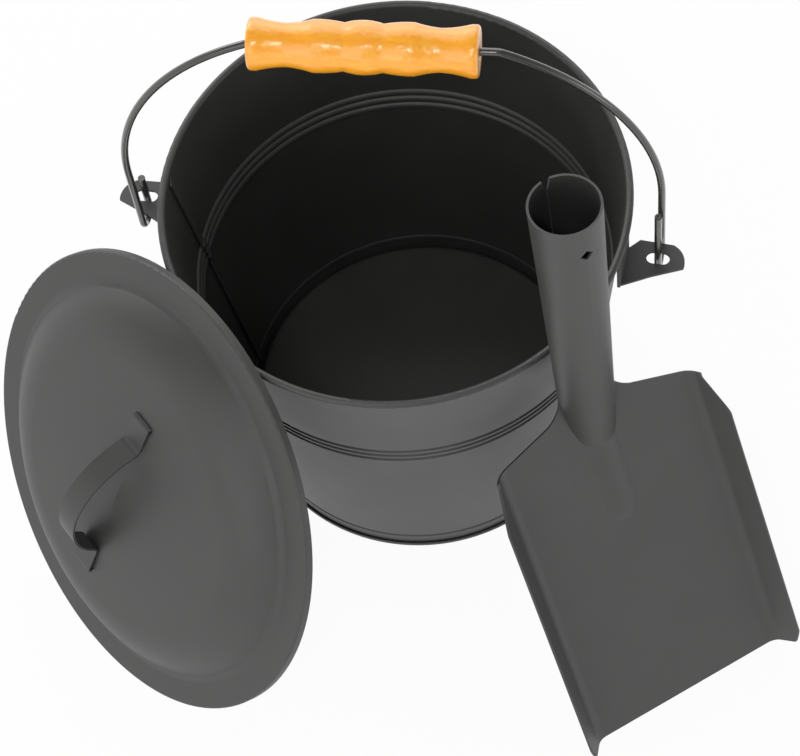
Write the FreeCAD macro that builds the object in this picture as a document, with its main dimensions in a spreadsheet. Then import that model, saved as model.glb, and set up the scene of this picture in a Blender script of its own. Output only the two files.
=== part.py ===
"""Ash bucket with shovel: a tapered sheet-steel bucket on two ears and a wire bail with a turned
wooden grip, its domed lid leaning on the rim and a stamped ash shovel standing beside it.

Millimetres. Origin on the floor under the middle of the foot, +Z up, ears on the X axis, front is -Y.
"""
import FreeCAD
import Part
import Sketcher
import math
import os

Vector = FreeCAD.Vector
Rotation = FreeCAD.Rotation
Placement = FreeCAD.Placement

doc = FreeCAD.newDocument("ash_bucket")

DRIVING = (
    ("rim_diameter", 250.0, "over the rolled rim"),
    ("bucket_height", 219.7, "floor to the top of the rolled rim"),
    ("foot_diameter", 200.4, "over the seam lip of the base"),
    ("sheet_metal", 0.8, "steel of the bucket and the lid"),
    ("curl_diameter", 4.2, "section of the rolled rim"),
    ("curl_opening", 70.0, "degrees of the curl left open towards the wall"),
    ("fit_gap", 0.3, "clearance between neighbouring pieces"),
    ("bead_height", 141.6, "middle one of the three swaged grooves"),
    ("bead_pitch", 5.7, "between the swaged grooves"),
    ("bead_depth", 1.5, "of a swaged groove"),
    ("bead_radius", 2.0, "of the tool that rolls those grooves"),
    ("foot_bead_height", 12.5, "groove that stops the base"),
    ("foot_bead_depth", 0.8, "of the groove above the base"),
    ("foot_bead_radius", 2.0, "of the tool that rolls that groove"),
    ("floor_height", 5.2, "inner floor above the ground"),
    ("floor_round", 3.0, "rounded edge of the raised floor"),
    ("lip_width", 1.2, "folded seam lip round the foot"),
    ("lip_height", 2.2, "of that lip"),
    ("ear_sheet", 1.5, "steel of the ears"),
    ("ear_drop", 30.6, "curl centre to the middle of the ear's tab"),
    ("ear_overhang", 30.6, "tab end beyond the rim"),
    ("ear_front", 19.7, "front end of the ear at the wall"),
    ("ear_back", 3.0, "back end of the ear's flange"),
    ("tab_half", 9.8, "back corner of the tab"),
    ("tab_free", 6.4, "that corner stands off the flange"),
    ("tab_round", 12.0, "rounded end of the tab"),
    ("tab_round_in", 9.5, "start of that rounding, in from the end"),
    ("tab_round_half", 9.0, "start of that rounding, behind the hole"),
    ("tab_tip_in", 2.6, "front corner of the end, in from the end"),
    ("tab_tip_half", 4.3, "front corner of the end"),
    ("tab_bend_in", 2.4, "bend in the front edge, in from the hole"),
    ("tab_bend_half", 11.3, "bend in the front edge"),
    ("hinge_overhang", 14.0, "hole centre beyond the rim"),
    ("hole_length", 12.4, "oval hole, outward"),
    ("hole_width", 7.0, "oval hole, across"),
    ("wire_diameter", 4.0, "bail wire"),
    ("hook_spacing", 12.65, "wire centres of a hook's two legs"),
    ("hook_depth", 6.0, "hinge line to the start of the hook's bend"),
    ("right_return", 42.0, "hinge line to the right cut end of the wire"),
    ("left_return", 18.5, "hinge line to the left cut end of the wire"),
    ("bail_rise", 166.0, "hinge line to the middle of the grip"),
    ("bail_straight", 60.0, "half length of the wire's straight top"),
    ("bail_turn", 65.0, "degrees that each side arc turns"),
    ("bail_kink", 6.0, "bend radius beside the grip"),
    ("grip_length", 112.0, "turned wooden grip"),
    ("grip_diameter", 26.0, "at its swellings and ends"),
    ("grip_neck", 21.4, "at its two necks"),
    ("grip_edge", 1.5, "rounded edge of its ends"),
    ("grip_land", 4.0, "widest part at each end"),
    ("neck_reach", 37.5, "its middle to a neck"),
    ("swell_reach", 24.6, "its middle to a swelling"),
    ("cut_reach", 9.5, "its middle to a turned cut"),
    ("neck_round", 60.0, "hollow of the necks"),
    ("swell_round", 70.0, "outer swellings"),
    ("middle_round", 32.0, "middle swelling"),
    ("grip_cut", 23.6, "at the bottom of its two turned cuts"),
    ("grip_play", 0.5, "round the wire"),
    ("grip_shift", -4.0, "grip's middle along the wire"),
    ("lid_overhang", 4.5, "lid radius beyond the rim"),
    ("lid_skirt", 5.0, "turned-down edge of the lid"),
    ("skirt_round", 1.2, "outer rounding of that edge"),
    ("brim_width", 14.9, "flat brim of the lid"),
    ("valley_radius", 6.0, "hollow where the dome leaves the brim"),
    ("shoulder_slope", 46.0, "steepest slope of the dome in degrees"),
    ("shoulder_radius", 45.0, "rounding over the dome's shoulder"),
    ("shoulder_width", 49.0, "lid edge to the start of the shoulder"),
    ("dome_radius", 1000.0, "flat crown of the dome"),
    ("lid_rest", 11.9, "where the rim meets the brim, in from the lid's edge"),
    ("lid_turn", -131.1, "azimuth of the leaning lid in degrees"),
    ("strap_width", 13.5, "lid handle"),
    ("strap_sheet", 1.2, "steel of the lid handle"),
    ("strap_reach", 60.5, "slots to the middle of the lid"),
    ("strap_radius", 44.0, "arch of the lid handle"),
    ("strap_rise", 27.5, "of the arch over its feet"),
    ("strap_bend", 5.0, "bends between arch and feet"),
    ("strap_fold", 1.6, "fold through each slot"),
    ("strap_tongue", 9.0, "clinched under the lid"),
    ("strap_turn", 3.0, "handle against the lid's line of fall in degrees"),
    ("strap_offset", 3.5, "handle beside the lid's middle"),
    ("strap_shift", -4.2, "handle's middle along its own line"),
    ("slot_play", 0.6, "round the strap in its slots"),
    ("shovel_sheet", 1.2, "steel of the shovel"),
    ("blade_half", 53.0, "half width of the flat blade"),
    ("blade_length", 187.0, "front edge to the line of the back edge beside the flanges"),
    ("blade_crown", 219.0, "front edge to the back edge beside the tube"),
    ("crown_half", 13.8, "half width of the back edge there"),
    ("flange_bend", 8.0, "inner bend radius at the side flanges"),
    ("flange_flare", 55.0, "side flanges against the blade in degrees"),
    ("flange_height", 14.0, "of the side flanges"),
    ("flange_fade", 160.0, "where the flanges start to run out"),
    ("blade_tilt", 61.5, "blade against the floor in degrees"),
    ("tube_angle", 24.1, "tube against the blade in degrees"),
    ("tube_start", 184.0, "front edge to the tube's lower end"),
    ("tube_sink", 12.05, "tube axis under the blade there"),
    ("tube_length", 200.0, "lower end to the mouth"),
    ("tube_mouth", 36.0, "outer diameter at the mouth"),
    ("tube_neck", 28.4, "outer diameter at the lower end"),
    ("tube_nose", 9.0, "rounded end of the tube"),
    ("seam_gap", 0.6, "butt seam along the tube"),
    ("notch_width", 5.0, "of the seam at the mouth"),
    ("notch_depth", 9.0, "of that notch"),
    ("hole_side", 5.0, "hanging hole"),
    ("hole_drop", 20.0, "mouth to the hanging hole"),
    ("ridge_start", 136.5, "front edge to the round end of the pressed ridge"),
    ("ridge_radius", 20.0, "of the ridge's section"),
    ("ridge_sink", 17.9, "ridge axis under the blade"),
    ("tip_drop", 3.5, "rounded front tips of the flanges, down"),
    ("tip_run", 19.0, "rounded front tips of the flanges, back"),
    ("tip_round", 60.0, "their radius"),
    ("fade_round", 30.0, "curve along which the flanges run out"),
    ("fade_run", 12.0, "length of that curve"),
    ("fade_drop", 2.5, "fall of that curve"),
    ("fade_past", 2.5, "that line drawn on beyond the blade's top"),
    ("fade_left", 4.5, "height left of the flanges at the back corners"),
    ("neck_run", 11.2, "hollow between tube and shoulder, sideways"),
    ("neck_drop", 14.0, "hollow between tube and shoulder, forwards"),
    ("neck_fillet", 20.0, "its radius"),
    ("past", 1.0, "cutters reach past the sheet"),
    ("deep", 50.0, "cutter under the blade, downwards"),
    ("under_start", 60.0, "cutter under the blade, from the front edge"),
    ("under_end", 203.0, "where the tube closes behind the blade"),
    ("shovel_gap", 0.6, "tube to the rolled rim"),
    ("shovel_turn", 130.6, "azimuth the shovel leans towards in degrees"),
    ("shovel_side", 30.8, "tube axis beside the bucket's axis"),
)

DERIVED = (
    ("rim_radius", "rim_diameter / 2"),
    ("curl_radius", "curl_diameter / 2"),
    ("curl_ring", "rim_radius - curl_radius"),
    ("curl_level", "bucket_height - curl_radius"),
    ("wall_top", "curl_ring - curl_radius + sheet_metal"),
    ("wall_foot", "foot_diameter / 2 - lip_width - fit_gap"),
    ("wall_start", "sheet_metal + 2 * fit_gap"),
    ("wall_slope", "(wall_top - wall_foot) / (curl_level - wall_start)"),
    ("collar_radius", "wall_foot - sheet_metal - fit_gap"),
    ("tab_level", "curl_level - ear_drop"),
    ("flange_inner", "wall_top + fit_gap"),
    ("flange_top", "curl_level - curl_radius - fit_gap"),
    ("ear_end", "rim_radius + ear_overhang"),
    ("hinge_reach", "rim_radius + hinge_overhang"),
    ("bail_half", "sqrt(hinge_reach ^ 2 + hook_spacing ^ 2)"),
    ("turn_sine", "sin(bail_turn)"),
    ("turn_cosine", "cos(bail_turn)"),
    ("bail_arc", "(bail_half - bail_straight - bail_kink * turn_cosine) / (1 - turn_cosine)"),
    ("leg_top", "tab_level + bail_rise - bail_arc * turn_sine - bail_kink * (1 - turn_sine)"),
    ("arc_end", "bail_half - bail_arc * (1 - turn_cosine)"),
    ("arc_top", "leg_top + bail_arc * turn_sine"),
    ("lid_radius", "rim_radius + lid_overhang"),
    ("dome_edge", "lid_radius - shoulder_width"),
    ("dome_sine", "dome_edge / dome_radius"),
    ("dome_cosine", "sqrt(1 - dome_sine ^ 2)"),
    ("slope_sine", "sin(shoulder_slope)"),
    ("slope_cosine", "cos(shoulder_slope)"),
    ("shoulder_r", "dome_edge + shoulder_radius * (slope_sine - dome_sine)"),
    ("valley_r", "lid_radius - brim_width"),
    ("valley_in", "valley_r - valley_radius * slope_sine"),
    ("valley_top", "lid_skirt + valley_radius * (1 - slope_cosine)"),
    ("shoulder_top", "valley_top + (valley_in - shoulder_r) * slope_sine / slope_cosine"),
    ("dome_top", "shoulder_top + shoulder_radius * (dome_cosine - slope_cosine)"),
    ("apex", "dome_top + dome_radius * (1 - dome_cosine)"),
    ("foot_in", "sqrt(strap_radius ^ 2 - (strap_radius - strap_rise) ^ 2)"),
    ("strap_foot", "apex - foot_in ^ 2 / (2 * dome_radius) + fit_gap + strap_sheet / 2"),
    ("strap_centre", "strap_foot + strap_rise - strap_radius"),
    ("bend_level", "strap_foot + strap_bend - strap_centre"),
    ("bend_share", "strap_radius / (strap_radius + strap_bend)"),
    ("bend_reach", "sqrt((strap_radius + strap_bend) ^ 2 - bend_level ^ 2)"),
    ("strap_far", "strap_reach + abs(strap_shift)"),
    ("tongue_level", "apex - strap_far ^ 2 / (2 * dome_radius) - sheet_metal - fit_gap - strap_sheet"),
    ("flare_sine", "sin(flange_flare)"),
    ("flare_cosine", "cos(flange_flare)"),
    ("bend_foot", "blade_half + flange_bend * flare_sine"),
    ("bend_rise", "flange_bend * (1 - flare_cosine)"),
    ("tip_half", "bend_foot + (flange_height - bend_rise) * flare_cosine / flare_sine"),
    ("tube_sine", "sin(tube_angle)"),
    ("tube_cosine", "cos(tube_angle)"),
    ("nose_radius", "((tube_neck / 2) ^ 2 + tube_nose ^ 2) / (2 * tube_nose)"),
)

sheet = doc.addObject("Spreadsheet::Sheet", "Dims")
for row, (name, value, note) in enumerate(DRIVING, 1):
    sheet.set("A%d" % row, note)
    sheet.set("B%d" % row, str(value))
    sheet.setAlias("B%d" % row, name)
for row, (name, formula) in enumerate(DERIVED, len(DRIVING) + 1):
    sheet.set("B%d" % row, "=" + formula)
    sheet.setAlias("B%d" % row, name)
doc.recompute()


class Sizes:
    """The sheet's cells as plain numbers."""

    def __getattr__(self, name):
        return float(getattr(sheet, name))


size = Sizes()


def bind(item, **cells):
    """Ties properties of an object to expressions over the sheet."""
    for prop, expression in cells.items():
        item.setExpression(prop, expression)


def new_body(label):
    made = doc.addObject("PartDesign::Body", label)
    made.Label = label
    return made


def new_sketch(body, name, plane, offset=Placement()):
    """A sketch on one of the body's own origin planes."""
    made = body.newObject("Sketcher::SketchObject", name)
    support = [feature for feature in body.Origin.OriginFeatures if feature.Role == plane][0]
    made.AttachmentSupport = [(support, "")]
    made.MapMode = "FlatFace"
    made.AttachmentOffset = offset
    return made


def limit(sketch, kind, where, expression):
    """A dimension of the sketch that follows an expression."""
    index = sketch.addConstraint(Sketcher.Constraint(kind, *where, sketch.evalExpression(expression)))
    sketch.setExpression("Constraints[%d]" % index, expression)


def arc_between(start, end, radius):
    """Arc from start to end; a positive radius turns left on the way."""
    chord = end - start
    left = Vector(-chord.y, chord.x, 0).normalize()
    rise = math.sqrt(radius * radius - chord.Length * chord.Length / 4)
    centre = (start + end) / 2 + left * (rise if radius > 0 else -rise)
    angles = [math.atan2(point.y - centre.y, point.x - centre.x) for point in (start, end)]
    if radius < 0:
        angles.reverse()
    return Part.ArcOfCircle(Part.Circle(centre, Vector(0, 0, 1), abs(radius)), *angles)


def draw(sketch, points, closed=True):
    """Chain of lines and arcs. A point is (x, y) after a line or (x, y, signed radius) after an arc."""
    value = [[float(sketch.evalExpression(term)) for term in point] for point in points]
    spots = [Vector(item[0], item[1], 0) for item in value]
    count = len(points) if closed else len(points) - 1
    first = len(sketch.Geometry)
    ends = []
    for index in range(count):
        after = (index + 1) % len(points)
        if len(points[after]) == 3:
            radius = value[after][2]
            sketch.addGeometry(arc_between(spots[index], spots[after], radius))
            ends.append((1, 2) if radius > 0 else (2, 1))
        else:
            sketch.addGeometry(Part.LineSegment(spots[index], spots[after]))
            ends.append((1, 2))
    for index in range(count if closed else count - 1):
        after = (index + 1) % count
        joint = (first + index, ends[index][1], first + after, ends[after][0])
        sketch.addConstraint(Sketcher.Constraint("Coincident", *joint))
    for index, point in enumerate(points):
        place = (first + index, ends[index][0]) if index < count else (first + count - 1, ends[-1][1])
        limit(sketch, "DistanceX", place, point[0])
        limit(sketch, "DistanceY", place, point[1])
        if len(point) == 3:
            limit(sketch, "Radius", (first + (index - 1) % count,), "abs(%s)" % point[2])
    return sketch


def ring(sketch, x, y, radius):
    """A circle whose place and radius follow the sheet."""
    centre = Vector(sketch.evalExpression(x), sketch.evalExpression(y), 0)
    index = sketch.addGeometry(Part.Circle(centre, Vector(0, 0, 1), sketch.evalExpression(radius)))
    limit(sketch, "DistanceX", (index, 3), x)
    limit(sketch, "DistanceY", (index, 3), y)
    limit(sketch, "Radius", (index,), radius)
    return sketch


def spin_line(sketch, start, end):
    """Construction line that a profile turns about."""
    draw(sketch, (start, end), closed=False)
    sketch.toggleConstruction(len(sketch.Geometry) - 1)


def grow(body, kind, name, sketch, length=None, symmetric=False, reverse=False):
    """Pad or Pocket of a sketch; no length cuts right through."""
    made = body.newObject("PartDesign::" + kind, name)
    made.Profile = sketch
    made.Reversed = reverse
    if symmetric:
        made.SideType = "Symmetric"
    if length is None:
        made.Type = "ThroughAll"
    else:
        made.Length = sketch.evalExpression(length)
        bind(made, Length=length)
    return made


def turn(body, kind, name, sketch, axis):
    """Revolution or Groove of a sketch about one of its axes."""
    made = body.newObject("PartDesign::" + kind, name)
    made.Profile = sketch
    made.ReferenceAxis = (sketch, [axis])
    made.Angle = 360
    return made


def pipe(body, name, section, path):
    made = body.newObject("PartDesign::AdditivePipe", name)
    made.Profile = section
    made.Spine = (path, ["Edge%d" % (index + 1) for index in range(len(path.Geometry))])
    return made


# Bucket wall: tapered sheet with three swaged grooves, a groove over the base and a rolled rim.
GROOVES = (
    ("Dims.foot_bead_height", "Dims.foot_bead_radius", "Dims.foot_bead_depth"),
    ("Dims.bead_height - Dims.bead_pitch", "Dims.bead_radius", "Dims.bead_depth"),
    ("Dims.bead_height", "Dims.bead_radius", "Dims.bead_depth"),
    ("Dims.bead_height + Dims.bead_pitch", "Dims.bead_radius", "Dims.bead_depth"),
)


def wall_face(skin):
    """Upward points of the wall's outer face, or of its inner face one sheet further in."""
    def at(level):
        return "Dims.wall_foot - %s + (%s - Dims.wall_start) * Dims.wall_slope" % (skin, level), level

    points = [at("Dims.wall_start")]
    for level, radius, depth in GROOVES:
        bend = "(%s + %s)" % (radius, skin)
        half = "sqrt(%s ^ 2 - (%s - %s) ^ 2)" % (bend, bend, depth)
        points.append(at("%s - %s" % (level, half)))
        points.append(at("%s + %s" % (level, half)) + ("-" + bend,))
    return points


def curl_face(radius):
    """Points of one face of the curl, from the wall over the top and down to its open end."""
    return [
        ("Dims.curl_ring - " + radius, "Dims.curl_level"),
        ("Dims.curl_ring", "Dims.curl_level + " + radius, "-" + radius),
        ("Dims.curl_ring + " + radius, "Dims.curl_level", "-" + radius),
        ("Dims.curl_ring - %s * cos(Dims.curl_opening)" % radius,
         "Dims.curl_level - %s * sin(Dims.curl_opening)" % radius, "-" + radius),
    ]


def retraced(points):
    """The same chain run the other way."""
    made = [points[-1][:2]]
    for index in range(len(points) - 2, -1, -1):
        made.append(points[index][:2] + tuple("-1 * (%s)" % bow for bow in points[index + 1][2:]))
    return made


steel = "Dims.sheet_metal"
wall = new_body("bucket_wall")
outer_face = wall_face("0 * " + steel) + curl_face("(Dims.curl_radius - %s)" % steel)
inner_face = wall_face(steel) + curl_face("Dims.curl_radius")
wall_profile = draw(new_sketch(wall, "wall_profile", "XZ_Plane"), outer_face + retraced(inner_face))
turn(wall, "Revolution", "wall_turned", wall_profile, "V_Axis")

# Base: raised floor, rounded down into a collar, with a folded lip that takes the wall's lower edge.
base = new_body("bucket_base")
base_profile = draw(new_sketch(base, "base_profile", "XZ_Plane"), (
    ("0", "Dims.floor_height - Dims.sheet_metal"),
    ("Dims.collar_radius - Dims.floor_round", "Dims.floor_height - Dims.sheet_metal"),
    ("Dims.collar_radius - Dims.sheet_metal", "Dims.floor_height - Dims.floor_round",
     "Dims.sheet_metal - Dims.floor_round"),
    ("Dims.collar_radius - Dims.sheet_metal", "0"),
    ("Dims.foot_diameter / 2", "0"),
    ("Dims.foot_diameter / 2", "Dims.lip_height - Dims.lip_width / 2"),
    ("Dims.foot_diameter / 2 - Dims.lip_width / 2", "Dims.lip_height", "Dims.lip_width / 2"),
    ("Dims.foot_diameter / 2 - Dims.lip_width", "Dims.lip_height - Dims.lip_width / 2", "Dims.lip_width / 2"),
    ("Dims.foot_diameter / 2 - Dims.lip_width", "Dims.sheet_metal"),
    ("Dims.collar_radius", "Dims.sheet_metal"),
    ("Dims.collar_radius", "Dims.floor_height - Dims.floor_round"),
    ("Dims.collar_radius - Dims.floor_round", "Dims.floor_height", "Dims.floor_round"),
    ("0", "Dims.floor_height"),
))
turn(base, "Revolution", "base_turned", base_profile, "V_Axis")


def ear(label, side):
    """Sheet ear: curved flange under the rim, bent into a level tab with an oval hole."""
    def out(expression):
        return "%d * (%s)" % (side, expression)

    body = new_body(label)
    level = Placement(Vector(0, 0, size.tab_level - size.ear_sheet / 2), Rotation())
    tab = new_sketch(body, label + "_tab", "XY_Plane", level)
    inner = "sqrt(Dims.flange_inner ^ 2 - %s ^ 2)"
    draw(tab, (
        (out(inner % "Dims.ear_back"), "Dims.ear_back"),
        (out(inner % "Dims.ear_front"), "-Dims.ear_front", out("-Dims.flange_inner")),
        (out("Dims.hinge_reach - Dims.tab_bend_in"), "-Dims.tab_bend_half"),
        (out("Dims.ear_end - Dims.tab_tip_in"), "-Dims.tab_tip_half"),
        (out("Dims.ear_end - Dims.tab_round_in"), "Dims.tab_round_half", out("Dims.tab_round")),
        (out("Dims.flange_inner + Dims.tab_free"), "Dims.tab_half"),
    ))
    grow(body, "Pad", label + "_plate", tab, "Dims.ear_sheet")
    hole = new_sketch(body, label + "_hole", "XY_Plane", level)
    half = "(Dims.hole_length - Dims.hole_width) / 2"
    bow = "Dims.hole_width / 2"
    draw(hole, (
        (out("Dims.hinge_reach - " + half), "-" + bow, out(bow)),
        (out("Dims.hinge_reach + " + half), "-" + bow),
        (out("Dims.hinge_reach + Dims.hole_length / 2"), "0", out(bow)),
        (out("Dims.hinge_reach + " + half), bow, out(bow)),
        (out("Dims.hinge_reach - " + half), bow),
        (out("Dims.hinge_reach - Dims.hole_length / 2"), "0", out(bow)),
    ))
    grow(body, "Pocket", label + "_eye", hole, symmetric=True)
    flange = new_sketch(body, label + "_flange", "XY_Plane", level)
    outer = "sqrt((Dims.flange_inner + Dims.ear_sheet) ^ 2 - %s ^ 2)"
    draw(flange, (
        (out(inner % "Dims.ear_back"), "Dims.ear_back"),
        (out(inner % "Dims.ear_front"), "-Dims.ear_front", out("-Dims.flange_inner")),
        (out(outer % "Dims.ear_front"), "-Dims.ear_front"),
        (out(outer % "Dims.ear_back"), "Dims.ear_back", out("Dims.flange_inner + Dims.ear_sheet")),
    ))
    upright = "Dims.flange_top - Dims.tab_level + Dims.ear_sheet / 2"
    grow(body, "Pad", label + "_upright", flange, upright)
    return body


ear("ear_right", 1)
ear("ear_left", -1)

# Bail: one wire, an arch with a straight top; each end hooks under its ear and up through the hole.
bail = new_body("bail_wire")
swing = math.degrees(math.atan2(size.hook_spacing, size.hinge_reach))
wire = "Dims.wire_diameter / 2"
arch_path = new_sketch(bail, "arch_path", "XZ_Plane", Placement(Vector(), Rotation(Vector(0, 1, 0), swing)))
leg_foot = "Dims.tab_level - Dims.hook_depth"
arch_top = "Dims.tab_level + Dims.bail_rise"
draw(arch_path, (
    ("-Dims.bail_half", leg_foot),
    ("-Dims.bail_half", "Dims.leg_top"),
    ("-Dims.arc_end", "Dims.arc_top", "-Dims.bail_arc"),
    ("-Dims.bail_straight", arch_top, "-Dims.bail_kink"),
    ("Dims.bail_straight", arch_top),
    ("Dims.arc_end", "Dims.arc_top", "-Dims.bail_kink"),
    ("Dims.bail_half", "Dims.leg_top", "-Dims.bail_arc"),
    ("Dims.bail_half", leg_foot),
), closed=False)
hook_level = Placement(Vector(0, 0, size.tab_level - size.hook_depth), Rotation())
for side, name in ((-1, "left"), (1, "right")):
    section = new_sketch(bail, name + "_section", "XY_Plane", hook_level)
    ring(section, "%d * Dims.hinge_reach" % side, "%d * Dims.hook_spacing" % side, wire)
    if side < 0:
        pipe(bail, "arch", section, arch_path)
    beside = Placement(Vector(0, 0, side * size.hinge_reach), Rotation())
    hook_path = new_sketch(bail, name + "_hook_path", "YZ_Plane", beside)
    bend = "Dims.hook_spacing / 2"
    draw(hook_path, (
        ("%d * Dims.hook_spacing" % side, leg_foot),
        ("%d * %s" % (side, bend), leg_foot + " - " + bend, "%d * %s" % (-side, bend)),
        ("0", leg_foot, "%d * %s" % (-side, bend)),
        ("0", "Dims.tab_level + Dims.%s_return" % name),
    ), closed=False)
    pipe(bail, name + "_hook", section, hook_path)

# Grip: turned wood with two necks, three swellings and two cuts, loose on the wire.
grip = new_body("bail_grip")
end = "Dims.grip_length / 2"
full = "Dims.grip_diameter / 2"
bore = "Dims.wire_diameter / 2 + Dims.grip_play"
neck = "Dims.grip_neck / 2"
left_half = (
    ("-%s" % end, bore),
    ("-%s" % end, full + " - Dims.grip_edge"),
    ("Dims.grip_edge - %s" % end, full, "-Dims.grip_edge"),
    ("Dims.grip_land - %s" % end, full),
    ("-Dims.neck_reach", neck, "Dims.neck_round"),
    ("-Dims.swell_reach", full, "Dims.neck_round"),
    ("-Dims.cut_reach", "Dims.grip_cut / 2", "-Dims.swell_round"),
)
right_half = (
    ("Dims.cut_reach", "Dims.grip_cut / 2", "-Dims.middle_round"),
    ("Dims.swell_reach", full, "-Dims.swell_round"),
    ("Dims.neck_reach", neck, "Dims.neck_round"),
    ("%s - Dims.grip_land" % end, full, "Dims.neck_round"),
    ("%s - Dims.grip_edge" % end, full),
    (end, full + " - Dims.grip_edge", "-Dims.grip_edge"),
    (end, bore),
)
turn(grip, "Revolution", "grip_turned",
     draw(new_sketch(grip, "grip_profile", "XZ_Plane"), left_half + right_half), "H_Axis")
along = Rotation(Vector(0, 0, 1), swing)
grip.Placement = Placement(along.multVec(Vector(size.grip_shift, 0, 0)), along)
grip.Placement.Base.z = size.tab_level + size.bail_rise

# Lid: spun dome with a flat brim and turned-down edge, drawn flat and then leant on the rim.
lid = new_body("lid_dome")
edge_round = "Dims.skirt_round"
thick = "Dims.sheet_metal"
turn(lid, "Revolution", "dome_turned", draw(new_sketch(lid, "dome_profile", "XZ_Plane"), (
    ("Dims.lid_radius - " + thick, "0"),
    ("Dims.lid_radius", "0"),
    ("Dims.lid_radius", "Dims.lid_skirt - " + edge_round),
    ("Dims.lid_radius - " + edge_round, "Dims.lid_skirt", edge_round),
    ("Dims.valley_r", "Dims.lid_skirt"),
    ("Dims.valley_in", "Dims.valley_top", "-Dims.valley_radius"),
    ("Dims.shoulder_r", "Dims.shoulder_top"),
    ("Dims.dome_edge", "Dims.dome_top", "Dims.shoulder_radius"),
    ("0", "Dims.apex", "Dims.dome_radius"),
    ("0", "Dims.apex - " + thick),
    ("Dims.dome_edge - %s * Dims.dome_sine" % thick, "Dims.dome_top - %s * Dims.dome_cosine" % thick,
     thick + " - Dims.dome_radius"),
    ("Dims.shoulder_r - %s * Dims.slope_sine" % thick, "Dims.shoulder_top - %s * Dims.slope_cosine" % thick,
     thick + " - Dims.shoulder_radius"),
    ("Dims.valley_in - %s * Dims.slope_sine" % thick, "Dims.valley_top - %s * Dims.slope_cosine" % thick),
    ("Dims.valley_r", "Dims.lid_skirt - " + thick, "Dims.valley_radius + " + thick),
    ("Dims.lid_radius - " + edge_round, "Dims.lid_skirt - " + thick),
    ("Dims.lid_radius - " + thick, "Dims.lid_skirt - " + edge_round, "%s - %s" % (thick, edge_round)),
)), "V_Axis")
slots = new_sketch(lid, "slots", "XY_Plane")
slot_in = "Dims.strap_reach - Dims.strap_fold - Dims.strap_sheet"
slot_out = "Dims.strap_reach + Dims.strap_sheet / 2 + Dims.slot_play"
slot_half = "(Dims.strap_width / 2 + Dims.slot_play)"
for side in (-1, 1):
    draw(slots, (
        ("Dims.strap_shift + %d * (%s)" % (side, slot_in), "Dims.strap_offset - " + slot_half),
        ("Dims.strap_shift + %d * (%s)" % (side, slot_out), "Dims.strap_offset - " + slot_half),
        ("Dims.strap_shift + %d * (%s)" % (side, slot_out), "Dims.strap_offset + " + slot_half),
        ("Dims.strap_shift + %d * (%s)" % (side, slot_in), "Dims.strap_offset + " + slot_half),
    ))
grow(lid, "Pocket", "slotted", slots, symmetric=True)

# Strap handle: an arch on two feet whose ends fold through the slots and are clinched under the lid.
strap = new_body("lid_handle")
strap_line = Placement(Vector(0, 0, -size.strap_offset), Rotation())
fold_in = "(Dims.strap_reach - Dims.strap_fold)"
bend_x = "Dims.bend_reach * Dims.bend_share"
bend_z = "Dims.strap_centre + Dims.bend_level * Dims.bend_share"


def strap_side(side):
    """Points of one side of the strap, from the clinched tongue to the arch."""
    reach = "%d * Dims.strap_reach" % side
    fold = "%d * Dims.strap_fold" % side
    return (
        ("%d * (Dims.strap_reach - Dims.strap_tongue)" % side, "Dims.tongue_level"),
        ("%d * %s" % (side, fold_in), "Dims.tongue_level"),
        (reach, "Dims.tongue_level + Dims.strap_fold", fold),
        (reach, "Dims.strap_foot - Dims.strap_fold"),
        ("%d * %s" % (side, fold_in), "Dims.strap_foot", fold),
        ("%d * Dims.bend_reach" % side, "Dims.strap_foot"),
        ("%d * %s" % (side, bend_x), bend_z, "%d * Dims.strap_bend" % -side),
    )


right_side = strap_side(1)
left_side = strap_side(-1)
back_again = retraced(left_side)
back_again[0] += ("Dims.strap_radius",)
strap_path = new_sketch(strap, "strap_path", "XZ_Plane", strap_line)
draw(strap_path, right_side + tuple(back_again), closed=False)
strap_start = Placement(Vector(0, 0, size.strap_reach - size.strap_tongue), Rotation())
strap_section = draw(new_sketch(strap, "strap_section", "YZ_Plane", strap_start), (
    ("Dims.strap_offset - Dims.strap_width / 2", "Dims.tongue_level - Dims.strap_sheet / 2"),
    ("Dims.strap_offset + Dims.strap_width / 2", "Dims.tongue_level - Dims.strap_sheet / 2"),
    ("Dims.strap_offset + Dims.strap_width / 2", "Dims.tongue_level + Dims.strap_sheet / 2"),
    ("Dims.strap_offset - Dims.strap_width / 2", "Dims.tongue_level + Dims.strap_sheet / 2"),
))
pipe(strap, "strap_bent", strap_section, strap_path)

# The lid stands on its edge and its brim meets the rolled rim.
slant = math.acos(size.curl_level / (2 * size.lid_radius - size.lid_rest))
lid_out = Vector(math.cos(math.radians(size.lid_turn)), math.sin(math.radians(size.lid_turn)), 0)
lid_normal = lid_out * math.cos(slant) + Vector(0, 0, math.sin(slant))
lid_up = lid_out * -math.sin(slant) + Vector(0, 0, math.cos(slant))
lid_level = size.lid_radius * math.cos(slant)
rest_depth = size.lid_skirt - size.sheet_metal - size.curl_radius - size.fit_gap
lid_reach = size.curl_ring + ((size.curl_level - lid_level) * math.sin(slant) - rest_depth) / math.cos(slant)
handle_line = Rotation(lid_normal, -size.strap_turn).multVec(lid_up)
lid_turned = Rotation(handle_line, lid_normal.cross(handle_line), lid_normal, "ZXY")
lid.Placement = Placement(lid_out * lid_reach + Vector(0, 0, lid_level), lid_turned)
strap.Placement = Placement(lid.Placement.multVec(Vector(size.strap_shift, 0, 0)), lid_turned)

# Shovel: one sheet pressed into a flanged blade whose tail is rolled into a tapering tube.
shovel = new_body("shovel")
gauge = "Dims.shovel_sheet"


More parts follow.
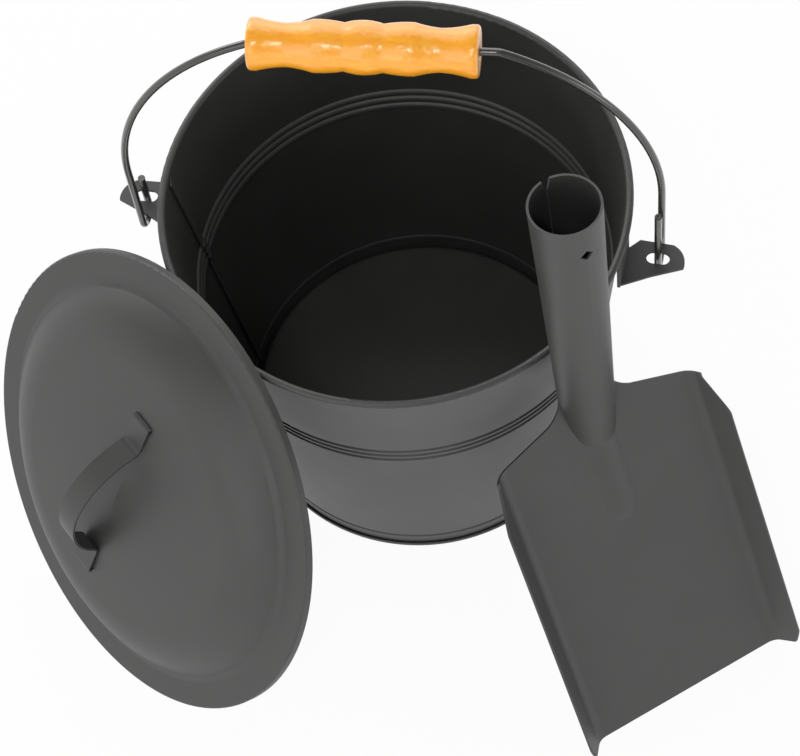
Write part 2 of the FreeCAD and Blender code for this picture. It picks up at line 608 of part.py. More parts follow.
def pan_side(side):
    """Inner and outer points of one flange, from the blade to the flange's edge."""
    tip = "Dims.tip_half + %s * Dims.flare_sine" % gauge
    return (
        ("%d * Dims.blade_half" % side, "-" + gauge),
        ("%d * (Dims.bend_foot + %s * Dims.flare_sine)" % (side, gauge),
         "Dims.bend_rise - %s * Dims.flare_cosine" % gauge, "%d * (Dims.flange_bend + %s)" % (side, gauge)),
        ("%d * (%s)" % (side, tip), "Dims.flange_height - %s * Dims.flare_cosine" % gauge),
        ("%d * Dims.tip_half" % side, "Dims.flange_height"),
        ("%d * Dims.bend_foot" % side, "Dims.bend_rise"),
        ("%d * Dims.blade_half" % side, "0", "%d * Dims.flange_bend" % -side),
    )


right_flange = pan_side(1)
left_flange = pan_side(-1)
pan = draw(new_sketch(shovel, "pan_section", "XZ_Plane"), right_flange + tuple(retraced(left_flange)))
grow(shovel, "Pad", "pan", pan, "Dims.blade_crown", reverse=True)
fade = draw(new_sketch(shovel, "flange_fade", "YZ_Plane"), (
    ("Dims.flange_fade", "Dims.flange_height + Dims.past"),
    ("Dims.flange_fade", "Dims.flange_height"),
    ("Dims.flange_fade + Dims.fade_run", "Dims.flange_height - Dims.fade_drop", "-Dims.fade_round"),
    ("Dims.blade_length + Dims.fade_past", "Dims.fade_left"),
    ("Dims.blade_crown + Dims.past", "Dims.fade_left"),
    ("Dims.blade_crown + Dims.past", "Dims.flange_height + Dims.past"),
))
grow(shovel, "Pocket", "flanges_faded", fade, symmetric=True)
nose = draw(new_sketch(shovel, "flange_tip", "YZ_Plane"), (
    ("-Dims.past", "Dims.flange_height - Dims.tip_drop"),
    ("0", "Dims.flange_height - Dims.tip_drop"),
    ("Dims.tip_run", "Dims.flange_height + Dims.past", "-Dims.tip_round"),
    ("-Dims.past", "Dims.flange_height + Dims.past"),
))
grow(shovel, "Pocket", "flange_tips", nose, symmetric=True)
back = new_sketch(shovel, "back_edge", "XY_Plane")
for side in (-1, 1):
    draw(back, (
        ("%d * Dims.crown_half" % side, "Dims.blade_crown + Dims.past"),
        ("%d * Dims.crown_half" % side, "Dims.blade_crown"),
        ("%d * (Dims.crown_half + Dims.neck_run)" % side, "Dims.blade_crown - Dims.neck_drop",
         "%d * Dims.neck_fillet" % side),
        ("%d * (Dims.tip_half + Dims.neck_run)" % side, "Dims.blade_length"),
        ("%d * (Dims.tip_half + Dims.neck_run)" % side, "Dims.blade_crown + Dims.past"),
    ))
grow(shovel, "Pocket", "back_shaped", back, symmetric=True)


def at_tube(along_axis, off_axis):
    """A point of the tube in side view, from its lower end."""
    return ("Dims.tube_start + (%s) * Dims.tube_cosine - (%s) * Dims.tube_sine" % (along_axis, off_axis),
            "(%s) * Dims.tube_sine + (%s) * Dims.tube_cosine - Dims.tube_sink" % (along_axis, off_axis))


def tube_profile(name, skin, past):
    """Half section of the tube's outside, or of its hollow one sheet further in."""
    made = new_sketch(shovel, name, "YZ_Plane")
    mouth = "Dims.tube_length" + past
    draw(made, (
        at_tube("%s - Dims.tube_nose" % skin, "0"),
        at_tube("0", "Dims.tube_neck / 2 - " + skin) + ("%s - Dims.nose_radius" % skin,),
        at_tube(mouth, "Dims.tube_mouth / 2 - " + skin),
        at_tube(mouth, "0"),
    ))
    spin_line(made, at_tube("0", "0"), at_tube("Dims.tube_length", "0"))
    return made


def ridge_profile(name, skin):
    """Half section of the pressed ridge that runs on from the tube, or of its hollow one sheet further in."""
    made = new_sketch(shovel, name, "YZ_Plane")
    bow = "(Dims.ridge_radius - %s)" % skin
    draw(made, (
        ("Dims.ridge_start - " + bow, "-Dims.ridge_sink"),
        ("Dims.ridge_start", "%s - Dims.ridge_sink" % bow, "-" + bow),
        ("Dims.tube_start", "%s - Dims.ridge_sink" % bow),
        ("Dims.tube_start", "-Dims.ridge_sink"),
    ))
    spin_line(made, ("Dims.ridge_start", "-Dims.ridge_sink"), ("Dims.tube_start", "-Dims.ridge_sink"))
    return made


turn(shovel, "Revolution", "tube", tube_profile("tube_outside", "0", ""), "Axis0")
turn(shovel, "Revolution", "ridge", ridge_profile("ridge_outside", "0 * " + gauge), "Axis0")
under = draw(new_sketch(shovel, "underside", "YZ_Plane"), (
    ("Dims.under_start", "-" + gauge),
    ("Dims.under_end", "-" + gauge),
    ("Dims.under_end + Dims.deep * Dims.tube_sine", "-%s - Dims.deep * Dims.tube_cosine" % gauge),
    ("Dims.under_start", "-%s - Dims.deep * Dims.tube_cosine" % gauge),
))
grow(shovel, "Pocket", "underside_open", under, symmetric=True)
turn(shovel, "Groove", "tube_hollow", tube_profile("tube_inside", gauge, " + Dims.past"), "Axis0")
turn(shovel, "Groove", "ridge_hollow", ridge_profile("ridge_inside", gauge), "Axis0")

# Butt seam with its notch along the back of the tube, and the hanging hole in its front.
axis_depth = size.tube_start * size.tube_sine + size.tube_sink * size.tube_cosine
seam_line = Placement(Vector(0, size.tube_sine, -size.tube_cosine) * axis_depth,
                      Rotation(Vector(1, 0, 0), size.tube_angle))
tube_out = "Dims.tube_start * Dims.tube_cosine - Dims.tube_sink * Dims.tube_sine"
mouth_out = tube_out + " + Dims.tube_length + Dims.past"
slit = draw(new_sketch(shovel, "butt_seam", "XY_Plane", seam_line), (
    ("-Dims.seam_gap / 2", tube_out),
    ("Dims.seam_gap / 2", tube_out),
    ("Dims.seam_gap / 2", mouth_out + " - Dims.notch_depth"),
    ("Dims.notch_width / 2", mouth_out),
    ("-Dims.notch_width / 2", mouth_out),
    ("-Dims.seam_gap / 2", mouth_out + " - Dims.notch_depth"),
))
grow(shovel, "Pocket", "seam_open", slit)
hang_out = mouth_out + " - Dims.past - Dims.hole_drop"
hang = draw(new_sketch(shovel, "hanging_hole", "XY_Plane", seam_line), (
    ("0", hang_out + " - Dims.hole_side / sqrt(2)"),
    ("Dims.hole_side / sqrt(2)", hang_out),
    ("0", hang_out + " + Dims.hole_side / sqrt(2)"),
    ("-Dims.hole_side / sqrt(2)", hang_out),
))
grow(shovel, "Pocket", "hole_punched", hang, reverse=True)

# The shovel stands on its front edge and its tube meets the rolled rim.
tilt = math.radians(size.blade_tilt)
heading = Vector(math.cos(math.radians(size.shovel_turn)), math.sin(math.radians(size.shovel_turn)), 0)
across = heading.cross(Vector(0, 0, 1))
blade_up = heading * math.cos(tilt) + Vector(0, 0, math.sin(tilt))
blade_normal = across.cross(blade_up)
steep = tilt + math.radians(size.tube_angle)
stand = size.shovel_sheet * math.cos(tilt)
low_level = stand + size.tube_start * math.sin(tilt) - size.tube_sink * math.cos(tilt)
low_reach = size.tube_start * math.cos(tilt) + size.tube_sink * math.sin(tilt)
run = (size.curl_level - low_level) / math.sin(steep)
tube_radius = (size.tube_neck + (size.tube_mouth - size.tube_neck) * run / size.tube_length) / 2
touch = math.sqrt((size.rim_radius + size.shovel_gap + tube_radius) ** 2 - size.shovel_side ** 2)
setback = touch + low_reach + run * math.cos(steep)
shovel.Placement = Placement(across * size.shovel_side - heading * setback + Vector(0, 0, stand),
                             Rotation(across, blade_up, blade_normal, "ZXY"))

doc.recompute()
NODES = ("bucket_wall", "bucket_base", "ear_left", "ear_right", "bail_wire", "bail_grip",
         "lid_dome", "lid_handle", "shovel")
for item in doc.Objects:
    if "Invalid" in item.State or "Error" in item.State:
        raise RuntimeError("%s is %s" % (item.Label, item.State))
os.makedirs("parts", exist_ok=True)
for label in NODES:
    shape = doc.getObjectsByLabel(label)[0].Shape
    if shape.isNull() or not shape.isValid() or len(shape.Solids) != 1:
        raise RuntimeError("%s has a faulty shape" % label)
    shape.exportStep("parts/%s.step" % label)
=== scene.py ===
"""Ash bucket with shovel: finishes, side seam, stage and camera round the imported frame."""
import math

import bpy
from mathutils import Matrix, Vector


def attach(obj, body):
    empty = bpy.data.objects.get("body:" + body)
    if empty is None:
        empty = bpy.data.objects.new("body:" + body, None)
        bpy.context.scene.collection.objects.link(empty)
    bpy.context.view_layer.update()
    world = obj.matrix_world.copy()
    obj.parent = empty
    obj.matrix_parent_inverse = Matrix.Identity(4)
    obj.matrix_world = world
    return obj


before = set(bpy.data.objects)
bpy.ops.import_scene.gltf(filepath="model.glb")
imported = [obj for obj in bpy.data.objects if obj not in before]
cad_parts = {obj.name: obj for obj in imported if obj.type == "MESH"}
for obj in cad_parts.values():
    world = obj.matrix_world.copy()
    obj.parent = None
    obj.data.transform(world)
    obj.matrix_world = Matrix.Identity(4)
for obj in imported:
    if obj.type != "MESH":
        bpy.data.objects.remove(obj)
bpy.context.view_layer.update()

bl_info = {
    "name": "Ash bucket with shovel",
    "version": (1, 0, 0),
    "blender": (4, 5, 0),
    "location": "View3D > Sidebar > Ash bucket",
    "description": "Dresses the bucket, its lid, bail and shovel, and sets up the stage",
    "category": "Object",
}

MM = 0.001
PER_MM = (1000, 1000, 1000)
STEEL_NODES = ("bucket_wall", "bucket_base", "ear_left", "ear_right",
               "lid_dome", "lid_handle", "shovel")
# Turn of the grip's axis from X about the vertical.
GRIP_TURN = math.radians(5.2)

# Inner face of the tapered wall in millimetres: radius at the ground, growth per unit of height
# and level of the rolled rim's middle.
WALL_FOOT = 97.75
WALL_GROWTH = 0.10592
RIM_LEVEL = 217.6
# Grooves seen from inside as beads: height, depth and bend radius in millimetres.
BEADS = ((12.5, 0.8, 2.8), (135.9, 1.5, 2.8), (141.6, 1.5, 2.8), (147.3, 1.5, 2.8))

# The side seam's lap: its lowest and highest level in millimetres, steps along it, and as shares of
# the lift at its free edge how far the edge stands open and how deep its bed lies in the wall.
SEAM_LOW = 10.0
SEAM_HIGH = RIM_LEVEL - 2.0
SEAM_STEPS = 200
LAP_GAP = 0.5
LAP_BED = -0.3

# Soft boxes: name, place and size in metres, and the stage's property that holds the power.
SOFT_BOXES = (
    ("front_box", (0.3, -2.4, 0.4), 0.7, "front_light"),
    ("high_box", (-0.8, -1.5, 1.15), 1.6, "high_light"),
    ("back_box", (-0.3, 1.5, 1.4), 2.0, "back_light"),
    ("side_box", (1.8, -0.5, 0.45), 0.7, "side_light"),
    ("left_box", (-1.5, 1.2, 1.0), 1.0, "left_light"),
    ("key_box", (0.1, -0.75, 1.45), 0.18, "key_light"),
)
LAMP_AIM = Vector((0, 0, 0.15))

# The table's half width in metres, and the share of its glow for light and for sight.
TABLE_HALF = 4.0
GLOW_LIT = 0.8
GLOW_SEEN = 0.95
# Height of a direction above the table at which the tent's roof is reached.
ROOF_START = 0.65
WHITE = (1, 1, 1, 1)

# The camera: place in metres, angles, and lens and sensor in millimetres.
CAMERA_PLACE = Vector((241.907, -744.5, 1459.417)) * MM
CAMERA_TURN = math.radians(18.9)
CAMERA_RISE = math.radians(61.45)
CAMERA_ROLL = math.radians(-9.28)
CAMERA_LENS = 126.0
CAMERA_SENSOR = 36.0
CAMERA_REACH = 20.0


def srgb(code):
    """Linear colour of a hex sRGB code."""
    parts = [int(code[index:index + 2], 16) / 255 for index in (1, 3, 5)]
    linear = [part / 12.92 if part <= 0.04045 else ((part + 0.055) / 1.055) ** 2.4
              for part in parts]
    return (*linear, 1.0)


class BucketFinish(bpy.types.PropertyGroup):
    """Colours of the finishes and sizes of the side seam."""

    coat: bpy.props.FloatVectorProperty(
        name="Powder coat", description="Main grey of the coated steel",
        subtype="COLOR", size=4, default=srgb("#3a3a39"))
    coat_deep: bpy.props.FloatVectorProperty(
        name="Powder coat, deep", description="Darker grains and clouds of the coated steel",
        subtype="COLOR", size=4, default=srgb("#313130"))
    wire: bpy.props.FloatVectorProperty(
        name="Wire", description="Black coat of the bail wire",
        subtype="COLOR", size=4, default=srgb("#2a2a28"))
    wire_worn: bpy.props.FloatVectorProperty(
        name="Wire, worn", description="Greyer streaks of the bail wire",
        subtype="COLOR", size=4, default=srgb("#32322f"))
    wood: bpy.props.FloatVectorProperty(
        name="Wood", description="Stained early wood of the grip",
        subtype="COLOR", size=4, default=srgb("#ffb424"))
    wood_grain: bpy.props.FloatVectorProperty(
        name="Wood grain", description="Late wood in the grip",
        subtype="COLOR", size=4, default=srgb("#ffa010"))
    seam_width: bpy.props.FloatProperty(
        name="Seam width", description="Lap of the side seam inside the wall",
        default=7.0 * MM, subtype="DISTANCE")
    seam_lift: bpy.props.FloatProperty(
        name="Seam lift", description="How far the lap's free edge stands off the wall",
        default=1.6 * MM, subtype="DISTANCE")
    seam_top: bpy.props.FloatProperty(
        name="Seam at the rim", description="Azimuth of the seam's edge at the rim",
        default=math.radians(184.3), subtype="ANGLE")
    seam_foot: bpy.props.FloatProperty(
        name="Seam at the floor", description="Azimuth of the seam's edge at the floor",
        default=math.radians(179.9), subtype="ANGLE")


class StageLook(bpy.types.PropertyGroup):
    """Floor and lights of the stage."""

    floor: bpy.props.FloatVectorProperty(
        name="Floor", description="Pale studio floor",
        subtype="COLOR", size=4, default=srgb("#f4f4f4"))
    glow: bpy.props.FloatProperty(
        name="Glow", description="Light that the pale table gives back", default=0.94)
    horizon: bpy.props.FloatProperty(
        name="Horizon", description="Strength of the surrounding light near the table",
        default=1.0)
    zenith: bpy.props.FloatProperty(
        name="Zenith", description="Strength of the surrounding light overhead",
        default=0.25)
    front_light: bpy.props.FloatProperty(
        name="Front light", description="Power of the low soft box in front",
        default=1.5, subtype="POWER")
    high_light: bpy.props.FloatProperty(
        name="High light", description="Power of the raised soft box in front",
        default=10.5, subtype="POWER")
    back_light: bpy.props.FloatProperty(
        name="Back light", description="Power of the soft box behind",
        default=20.0, subtype="POWER")
    side_light: bpy.props.FloatProperty(
        name="Side light", description="Power of the low soft box on the right",
        default=3.5, subtype="POWER")
    left_light: bpy.props.FloatProperty(
        name="Left light", description="Power of the soft box behind on the left",
        default=11.0, subtype="POWER")
    key_light: bpy.props.FloatProperty(
        name="Key light", description="Power of the small box beside the camera",
        default=3.9, subtype="POWER")


def add(tree, kind, settings, links=None):
    """Adds a node with its settings and links."""
    made = tree.nodes.new(kind)
    for name, value in settings.items():
        if isinstance(name, str) and hasattr(made, name):
            setattr(made, name, value)
        else:
            made.inputs[name].default_value = value
    for name, source in (links or {}).items():
        tree.links.new(source, made.inputs[name])
    return made


def new_material(name):
    """An empty material with its shader."""
    material = bpy.data.materials.new(name)
    material.use_nodes = True
    return material, material.node_tree, material.node_tree.nodes["Principled BSDF"]


def millimetres(tree):
    """Object coordinates in millimetres."""
    place = add(tree, "ShaderNodeTexCoord", {})
    where = add(tree, "ShaderNodeMapping", {"Scale": PER_MM}, {"Vector": place.outputs["Object"]})
    return where.outputs["Vector"]


def join_shader(tree, shader, colour, gloss, relief, settings):
    """Links colour, gloss and relief to a finish's shader and sets what is the same all over."""
    tree.links.new(colour.outputs[2], shader.inputs["Base Color"])
    tree.links.new(gloss.outputs["Result"], shader.inputs["Roughness"])
    tree.links.new(relief.outputs["Normal"], shader.inputs["Normal"])
    for name, value in settings.items():
        shader.inputs[name].default_value = value


def powder_coat(finish):
    """Powder coat on sheet steel: cured matt, which gives a soft wide sheen over orange peel."""
    material, tree, shader = new_material("anthracite_powder_coat")
    where = millimetres(tree)
    # Clouds of about 30 mm, from the uneven spray.
    clouds = add(tree, "ShaderNodeTexNoise", {"Scale": 0.03, "Detail": 4.0, "Roughness": 0.6},
                 {"Vector": where})
    # Powder grains are near 0.1 mm; they are drawn at 1 mm so that they show.
    grains = add(tree, "ShaderNodeTexNoise", {"Scale": 1.0, "Detail": 2.0}, {"Vector": where})
    mottle = add(tree, "ShaderNodeMath", {"operation": "MULTIPLY_ADD", 1: 0.45},
                 {0: grains.outputs["Fac"], 2: clouds.outputs["Fac"]})
    tone = add(tree, "ShaderNodeMapRange", {"From Min": 0.45, "From Max": 1.0},
               {"Value": mottle.outputs["Value"]})
    colour = add(tree, "ShaderNodeMix", {"data_type": "RGBA", 6: finish.coat_deep, 7: finish.coat},
                 {0: tone.outputs["Result"]})
    gloss = add(tree, "ShaderNodeMapRange", {"To Min": 0.44, "To Max": 0.58},
                {"Value": clouds.outputs["Fac"]})
    # Orange peel of about 2 mm.
    peel = add(tree, "ShaderNodeTexNoise", {"Scale": 0.5, "Detail": 3.0}, {"Vector": where})
    relief = add(tree, "ShaderNodeBump", {"Strength": 0.3, "Distance": 0.05 * MM},
                 {"Height": peel.outputs["Fac"]})
    join_shader(tree, shader, colour, gloss, relief, {"Specular IOR Level": 0.7})
    return material


def wire_coat(finish):
    """Stoved black lacquer on drawn wire: dark, with sharp streaks of light along the bend."""
    material, tree, shader = new_material("black_lacquered_wire")
    where = millimetres(tree)
    # Rubbed patches of about 10 mm.
    wear = add(tree, "ShaderNodeTexNoise", {"Scale": 0.1, "Detail": 4.0, "Roughness": 0.65},
               {"Vector": where})
    colour = add(tree, "ShaderNodeMix", {"data_type": "RGBA", 6: finish.wire, 7: finish.wire_worn},
                 {0: wear.outputs["Fac"]})
    gloss = add(tree, "ShaderNodeMapRange", {"To Min": 0.16, "To Max": 0.34},
                {"Value": wear.outputs["Fac"]})
    # Runs in the lacquer, a millimetre or two long.
    runs = add(tree, "ShaderNodeTexNoise", {"Scale": 0.7, "Detail": 2.0}, {"Vector": where})
    relief = add(tree, "ShaderNodeBump", {"Strength": 0.2, "Distance": 0.05 * MM},
                 {"Height": runs.outputs["Fac"]})
    join_shader(tree, shader, colour, gloss, relief,
                {"Specular IOR Level": 0.4, "Coat Weight": 1.0, "Coat Roughness": 0.1})
    return material


def lacquered_wood(finish):
    """Turned beech, stained orange and dipped in clear lacquer: flecks under a wavy gloss."""
    material, tree, shader = new_material("stained_lacquered_beech")
    where = millimetres(tree)
    place = add(tree, "ShaderNodeTexCoord", {})
    # Grain runs along the grip, about seventeen times as long as it is wide.
    along = add(tree, "ShaderNodeMapping",
                {"Rotation": (0, 0, -GRIP_TURN), "Scale": (60, 1000, 1000)},
                {"Vector": place.outputs["Object"]})
    # Bands of grain 2 mm wide, with flecks of 0.6 mm.
    grain = add(tree, "ShaderNodeTexNoise", {"Scale": 0.5, "Detail": 5.0, "Roughness": 0.6},
                {"Vector": along.outputs["Vector"]})
    flecks = add(tree, "ShaderNodeTexNoise", {"Scale": 1.6, "Detail": 3.0},
                 {"Vector": along.outputs["Vector"]})
    figure = add(tree, "ShaderNodeMath", {"operation": "MULTIPLY_ADD", 1: 0.5},
                 {0: flecks.outputs["Fac"], 2: grain.outputs["Fac"]})
    tone = add(tree, "ShaderNodeMapRange", {"From Min": 0.55, "From Max": 0.95},
               {"Value": figure.outputs["Value"]})
    colour = add(tree, "ShaderNodeMix", {"data_type": "RGBA", 6: finish.wood_grain, 7: finish.wood},
                 {0: tone.outputs["Result"]})
    gloss = add(tree, "ShaderNodeMapRange", {"To Min": 0.3, "To Max": 0.45},
                {"Value": flecks.outputs["Fac"]})
    # Dipped lacquer stands in waves of about 6 mm, with finer ones on them.
    waves = add(tree, "ShaderNodeTexNoise", {"Scale": 0.16, "Detail": 3.0, "Roughness": 0.5},
                {"Vector": where})
    # The lacquer rounds the turned edges over about 4 mm.
    rounded = add(tree, "ShaderNodeBevel", {"samples": 8, "Radius": 4.0 * MM})
    relief = add(tree, "ShaderNodeBump", {"Strength": 0.8, "Distance": 0.8 * MM},
                 {"Height": waves.outputs["Fac"], "Normal": rounded.outputs["Normal"]})
    tree.links.new(relief.outputs["Normal"], shader.inputs["Coat Normal"])
    join_shader(tree, shader, colour, gloss, relief,
                {"Coat Weight": 1.0, "Coat Roughness": 0.2, "Coat IOR": 1.5})
    return material


def dress(node, material):
    """Gives a frame node its finish."""
    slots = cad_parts[node].data.materials
    slots.clear()
    slots.append(material)


def sweep_tree():
    """Geometry nodes that sweep a lap's section along the line of its lifted free edge."""
    tree = bpy.data.node_groups.new("lapped_sheet", "GeometryNodeTree")
    tree.interface.new_socket("Geometry", in_out="INPUT", socket_type="NodeSocketGeometry")
    tree.interface.new_socket("Width", in_out="INPUT", socket_type="NodeSocketFloat")
    tree.interface.new_socket("Lift", in_out="INPUT", socket_type="NodeSocketFloat")
    tree.interface.new_socket("Finish", in_out="INPUT", socket_type="NodeSocketMaterial")
    tree.interface.new_socket("Geometry", in_out="OUTPUT", socket_type="NodeSocketGeometry")
    given = add(tree, "NodeGroupInput", {})
    line = add(tree, "GeometryNodeMeshToCurve", {}, {"Mesh": given.outputs["Geometry"]})
    place = add(tree, "GeometryNodeInputPosition", {})
    # The section lies along the wall at every point, whatever the line's lean.
    around = add(tree, "ShaderNodeVectorMath", {"operation": "CROSS_PRODUCT", 0: (0, 0, 1)},
                 {1: place.outputs["Position"]})
    laid = add(tree, "GeometryNodeSetCurveNormal", {"mode": "FREE"},
               {"Curve": line.outputs["Curve"], "Normal": around.outputs["Vector"]})
    # Free edge over its gap, which is the seam's dark line, and root bedded in the wall.
    edge = add(tree, "ShaderNodeCombineXYZ", {}, {"Y": given.outputs["Lift"]})
    reach = add(tree, "ShaderNodeMath", {"operation": "MULTIPLY", 1: -1.0},
                {0: given.outputs["Width"]})
    root = add(tree, "ShaderNodeCombineXYZ", {}, {"X": reach.outputs["Value"]})
    heel = add(tree, "ShaderNodeVectorMath", {"operation": "MULTIPLY_ADD", 1: (1, LAP_BED, 1)},
               {0: edge.outputs["Vector"], 2: root.outputs["Vector"]})
    foot = add(tree, "ShaderNodeVectorMath", {"operation": "MULTIPLY", 1: (1, LAP_GAP, 1)},
               {0: edge.outputs["Vector"]})
    section = add(tree, "GeometryNodeCurvePrimitiveQuadrilateral", {"mode": "POINTS"},
                  {"Point 1": edge.outputs["Vector"], "Point 2": root.outputs["Vector"],
                   "Point 3": heel.outputs["Vector"], "Point 4": foot.outputs["Vector"]})
    swept = add(tree, "GeometryNodeCurveToMesh", {"Fill Caps": True},
                {"Curve": laid.outputs["Curve"], "Profile Curve": section.outputs["Curve"]})
    plain = add(tree, "GeometryNodeRealizeInstances", {}, {"Geometry": swept.outputs["Mesh"]})
    coated = add(tree, "GeometryNodeSetMaterial", {},
                 {"Geometry": plain.outputs["Geometry"], "Material": given.outputs["Finish"]})
    add(tree, "NodeGroupOutput", {}, {"Geometry": coated.outputs["Geometry"]})
    return tree


def swept_sheet(name, points, width, lift, material):
    """A strip of sheet along points in millimetres, as a plain mesh that rides on the bucket."""
    mesh = bpy.data.meshes.new(name + "_line")
    edges = [(index, index + 1) for index in range(len(points) - 1)]
    mesh.from_pydata([point * MM for point in points], edges, [])
    line = bpy.data.objects.new(name + "_line", mesh)
    bpy.context.scene.collection.objects.link(line)
    sweep = line.modifiers.new("sweep", "NODES")
    sweep.node_group = sweep_tree()
    values = {"Width": width, "Lift": lift, "Finish": material}
    for socket in sweep.node_group.interface.items_tree:
        if socket.name in values:
            sweep[socket.identifier] = values[socket.name]
    shape = line.evaluated_get(bpy.context.evaluated_depsgraph_get())
    piece = bpy.data.objects.new(name, bpy.data.meshes.new_from_object(shape))
    bpy.data.objects.remove(line)
    bpy.context.scene.collection.objects.link(piece)
    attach(piece, "bucket")


def seam_points(finish):
    """Free edge of the lapped sheet, over every bead of the wall, from the floor to the rim."""
    points = []
    for step in range(SEAM_STEPS + 1):
        level = SEAM_LOW + (SEAM_HIGH - SEAM_LOW) * step / SEAM_STEPS
        radius = WALL_FOOT + level * WALL_GROWTH
        for middle, depth, bend in BEADS:
            away = abs(level - middle)
            if away < bend:
                radius -= max(0.0, depth - bend + math.sqrt(bend * bend - away * away))
        share = (level - SEAM_LOW) / (SEAM_HIGH - SEAM_LOW)
        angle = finish.seam_foot + (finish.seam_top - finish.seam_foot) * share
        points.append(Vector((radius * math.cos(angle), radius * math.sin(angle), level)))
    return points


class OBJECT_OT_dress_steel(bpy.types.Operator):
    """Coat the bucket, its ears, the lid and the shovel, and lap the side seam"""

    bl_idname = "object.dress_steel"
    bl_label = "Coat the sheet steel"

    def execute(self, context):
        finish = context.scene.bucket_finish
        material = powder_coat(finish)
        for node in STEEL_NODES:
            dress(node, material)
        swept_sheet("side_seam", seam_points(finish), finish.seam_width, finish.seam_lift, material)
        return {"FINISHED"}


class OBJECT_OT_dress_bail(bpy.types.Operator):
    """Finish the bail's wire and its wooden grip"""

    bl_idname = "object.dress_bail"
    bl_label = "Finish the bail"

    def execute(self, context):
        dress("bail_wire", wire_coat(context.scene.bucket_finish))
        dress("bail_grip", lacquered_wood(context.scene.bucket_finish))
        return {"FINISHED"}


class OBJECT_OT_build_stage(bpy.types.Operator):
    """Set up the floor, the lights and the camera"""

    bl_idname = "object.build_stage"
    bl_label = "Build the stage"

    def execute(self, context):
        look = context.scene.stage_look
        build_floor(look)
        build_world(look)
        for name, place, size, power in SOFT_BOXES:
            soft_box(name, place, size, getattr(look, power))
        build_camera(context.scene)
        context.scene.view_settings.view_transform = "Standard"
        return {"FINISHED"}


def seen_rays(tree):
    """Tells the rays that look at the background from those that light the object."""
    rays = add(tree, "ShaderNodeLightPath", {})
    glossy = add(tree, "ShaderNodeMath", {"operation": "MAXIMUM"},
                 {0: rays.outputs["Is Camera Ray"], 1: rays.outputs["Is Glossy Ray"]})
    seen = add(tree, "ShaderNodeMath", {"operation": "MAXIMUM"},
               {0: glossy.outputs["Value"], 1: rays.outputs["Is Transmission Ray"]})
    return seen.outputs["Value"]


def build_floor(look):
    """A wide pale table, white to the eye but for a breath of shadow round the object."""
    corners = [(-TABLE_HALF, -TABLE_HALF, 0), (TABLE_HALF, -TABLE_HALF, 0),
               (TABLE_HALF, TABLE_HALF, 0), (-TABLE_HALF, TABLE_HALF, 0)]
    mesh = bpy.data.meshes.new("studio_floor")
    mesh.from_pydata(corners, [], [(0, 1, 2, 3)])
    floor = bpy.data.objects.new("studio_floor", mesh)
    bpy.context.scene.collection.objects.link(floor)
    material, tree, shader = new_material("pale_table")
    shader.inputs["Base Color"].default_value = look.floor
    shader.inputs["Roughness"].default_value = 0.9
    seen = seen_rays(tree)
    strength = add(tree, "ShaderNodeMapRange", {"To Min": look.glow, "To Max": 1.0},
                   {"Value": seen})
    glow = add(tree, "ShaderNodeEmission", {"Color": WHITE},
               {"Strength": strength.outputs["Result"]})
    share = add(tree, "ShaderNodeMapRange", {"To Min": GLOW_LIT, "To Max": GLOW_SEEN},
                {"Value": seen})
    table = add(tree, "ShaderNodeMixShader", {},
                {0: share.outputs["Result"], 1: shader.outputs["BSDF"],
                 2: glow.outputs["Emission"]})
    tree.links.new(table.outputs["Shader"], tree.nodes["Material Output"].inputs["Surface"])
    mesh.materials.append(material)


def build_world(look):
    """A light tent: white walls near the table and a dimmer roof."""
    world = bpy.data.worlds.new("light_tent")
    world.use_nodes = True
    tree = world.node_tree
    place = add(tree, "ShaderNodeTexCoord", {})
    axes = add(tree, "ShaderNodeSeparateXYZ", {}, {"Vector": place.outputs["Generated"]})
    fall = add(tree, "ShaderNodeMapRange",
               {"interpolation_type": "SMOOTHSTEP", "From Max": ROOF_START,
                "To Min": look.horizon, "To Max": look.zenith}, {"Value": axes.outputs["Z"]})
    tent = tree.nodes["Background"]
    tent.inputs["Color"].default_value = WHITE
    tree.links.new(fall.outputs["Result"], tent.inputs["Strength"])
    bpy.context.scene.world = world


def soft_box(name, place, size, power):
    """A square area light aimed at the bucket."""
    data = bpy.data.lights.new(name, "AREA")
    data.size = size
    data.energy = power
    lamp = bpy.data.objects.new(name, data)
    lamp.location = place
    lamp.rotation_euler = (LAMP_AIM - Vector(place)).to_track_quat("-Z", "Y").to_euler()
    bpy.context.scene.collection.objects.link(lamp)


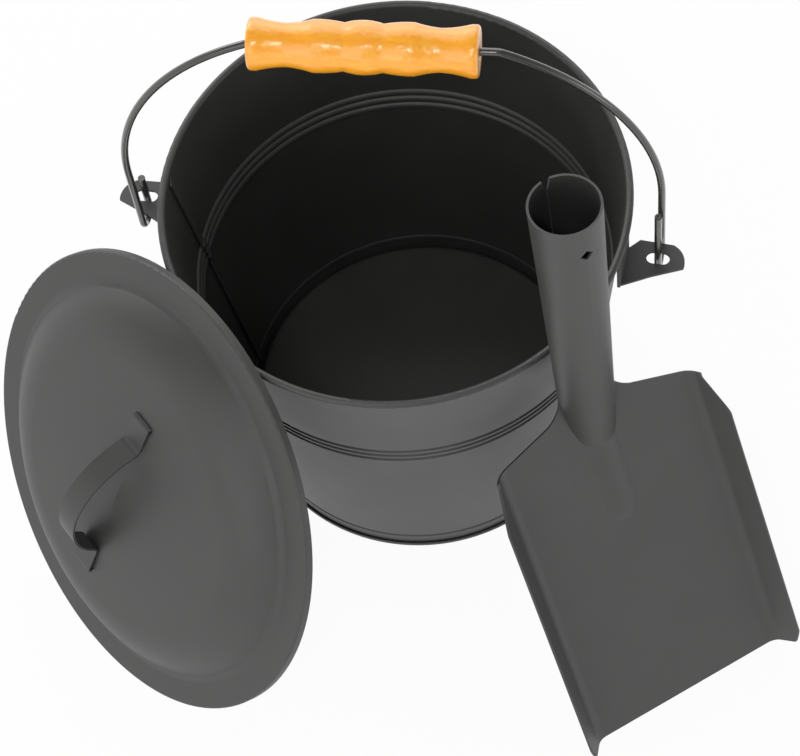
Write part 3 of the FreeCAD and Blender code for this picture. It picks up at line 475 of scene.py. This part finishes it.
def build_camera(scene):
    """A long lens from above, a little rolled, at the photograph's angle."""
    ahead = Vector((0, math.cos(CAMERA_RISE), -math.sin(CAMERA_RISE)))
    right = Vector((1, 0, 0))
    up = right.cross(ahead)
    rolled_right = right * math.cos(CAMERA_ROLL) + up * math.sin(CAMERA_ROLL)
    rolled_up = up * math.cos(CAMERA_ROLL) - right * math.sin(CAMERA_ROLL)
    axes = Matrix((rolled_right, rolled_up, -ahead)).transposed()
    data = bpy.data.cameras.new("camera")
    data.sensor_fit = "HORIZONTAL"
    data.sensor_width = CAMERA_SENSOR
    data.lens = CAMERA_LENS
    data.clip_end = CAMERA_REACH
    camera = bpy.data.objects.new("camera", data)
    turn = Matrix.Rotation(CAMERA_TURN, 3, "Z") @ axes
    camera.matrix_world = Matrix.Translation(CAMERA_PLACE) @ turn.to_4x4()
    scene.collection.objects.link(camera)
    scene.camera = camera


class VIEW3D_PT_ash_bucket(bpy.types.Panel):
    """Operators and sizes of the ash bucket"""

    bl_label = "Ash bucket"
    bl_space_type = "VIEW_3D"
    bl_region_type = "UI"
    bl_category = "Ash bucket"

    def draw(self, context):
        for operator in OPERATORS:
            self.layout.operator(operator.bl_idname)
        for group in (context.scene.bucket_finish, context.scene.stage_look):
            for name in group.bl_rna.properties.keys():
                if name not in ("rna_type", "name"):
                    self.layout.prop(group, name)


OPERATORS = (OBJECT_OT_dress_steel, OBJECT_OT_dress_bail, OBJECT_OT_build_stage)
CLASSES = (BucketFinish, StageLook, *OPERATORS, VIEW3D_PT_ash_bucket)


def register():
    for item in CLASSES:
        bpy.utils.register_class(item)
    bpy.types.Scene.bucket_finish = bpy.props.PointerProperty(type=BucketFinish)
    bpy.types.Scene.stage_look = bpy.props.PointerProperty(type=StageLook)


def unregister():
    del bpy.types.Scene.stage_look
    del bpy.types.Scene.bucket_finish
    for item in reversed(CLASSES):
        bpy.utils.unregister_class(item)


def main():
    register()
    bpy.ops.object.dress_steel()
    bpy.ops.object.dress_bail()
    bpy.ops.object.build_stage()


if __name__ == "__main__":
    main()
